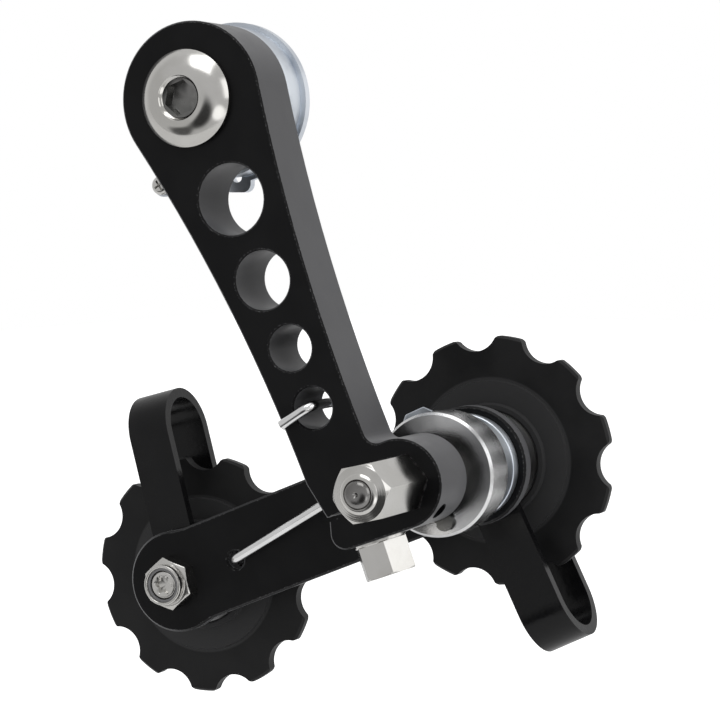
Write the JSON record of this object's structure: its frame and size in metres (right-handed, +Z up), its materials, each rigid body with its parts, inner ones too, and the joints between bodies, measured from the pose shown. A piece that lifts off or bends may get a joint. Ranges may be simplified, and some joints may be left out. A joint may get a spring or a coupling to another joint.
{
  "type": "bicycle chain tensioner",
  "caption": "Sprung chain tensioner with a drilled clamp arm, a hexagonal shaft, a swinging cage plate, toothed wheels and looped chain guards.",
  "frame": {"origin": "on the hanger bolt's axis, in the plane of the stop plate's rear face, which seats on the bicycle's hanger", "axes": "+X forwards along the bicycle, +Y along the bolt and the pivot towards the bicycle's frame, +Z up"},
  "size_m": [0.0961, 0.0654, 0.1157],
  "materials": {
    "black_anodised": "satin black anodised, bright at worn edges",
    "nickel_steel": "bright nickel plate",
    "zinc_steel": "bluish zinc plate",
    "bare_steel": "plain ground steel",
    "dark_steel": "dark oiled steel",
    "spring_steel": "bright drawn wire",
    "bearing_bronze": "sintered bronze",
    "wheel_plastic": "matt black moulded",
    "guard_plastic": "satin black moulded"
  },
  "bodies": {
    "hanger_mount": {"hanger_bolt": "nickel_steel", "spacer_disc": "zinc_steel", "stop_plate": "zinc_steel", "stop_screw": "nickel_steel"},
    "arm": {"arm": "black_anodised", "pinch_bolt": "nickel_steel", "pinch_washer": "nickel_steel"},
    "shaft": {"hex_shaft": "nickel_steel", "guide_axle_bolt": "dark_steel", "spring_collar": "nickel_steel", "collar_screw": "nickel_steel", "torsion_spring": "spring_steel", "front_washer": "zinc_steel", "stop_tab_washer": "zinc_steel", "rear_washer": "zinc_steel", "guide_bush": "bare_steel", "guide_front_shield": "bare_steel", "guide_rear_shield": "bare_steel"},
    "cage": {"cage_plate": "black_anodised", "plate_bushing": "bearing_bronze", "tension_axle_bolt": "nickel_steel", "tension_lock_nut": "nickel_steel", "tension_bush": "bare_steel", "tension_front_shield": "bare_steel", "tension_rear_shield": "bare_steel"},
    "guide_wheel": {"guide_wheel": "wheel_plastic"},
    "tension_wheel": {"tension_wheel": "wheel_plastic"},
    "guide_guard": {"guide_chain_guard": "guard_plastic"},
    "tension_guard": {"tension_chain_guard": "guard_plastic"}
  },
  "joints": [
    {"name": "arm_swing", "type": "hinge", "parent": "hanger_mount", "child": "arm", "pos_m": [0, 0, 0], "axis": [0, 1, 0], "range_deg": [-20, 20]},
    {"name": "chainline_slide", "type": "slide", "parent": "arm", "child": "shaft", "axis": [0, 1, 0], "range_m": [-0.0025, 0.012], "deforming": ["torsion_spring"]},
    {"name": "cage_swing", "type": "hinge", "parent": "shaft", "child": "cage", "pos_m": [0.03629, 0, -0.05939], "axis": [0, 1, 0], "range_deg": [-75, 0], "stiffness_Nm_per_rad": 0.35, "springref_deg": 57.3, "deforming": ["torsion_spring"]},
    {"name": "guide_wheel_spin", "type": "hinge", "parent": "shaft", "child": "guide_wheel", "pos_m": [0.03629, 0, -0.05939], "axis": [0, 1, 0], "continuous": true},
    {"name": "tension_wheel_spin", "type": "hinge", "parent": "cage", "child": "tension_wheel", "pos_m": [-0.0183, 0, -0.08178], "axis": [0, 1, 0], "continuous": true},
    {"name": "guide_guard_swivel", "type": "hinge", "parent": "shaft", "child": "guide_guard", "pos_m": [0.03629, 0, -0.05939], "axis": [0, 1, 0], "range_deg": [-25, 25]},
    {"name": "tension_guard_swivel", "type": "hinge", "parent": "cage", "child": "tension_guard", "pos_m": [-0.0183, 0, -0.08178], "axis": [0, 1, 0], "range_deg": [-25, 25]}
  ]
}
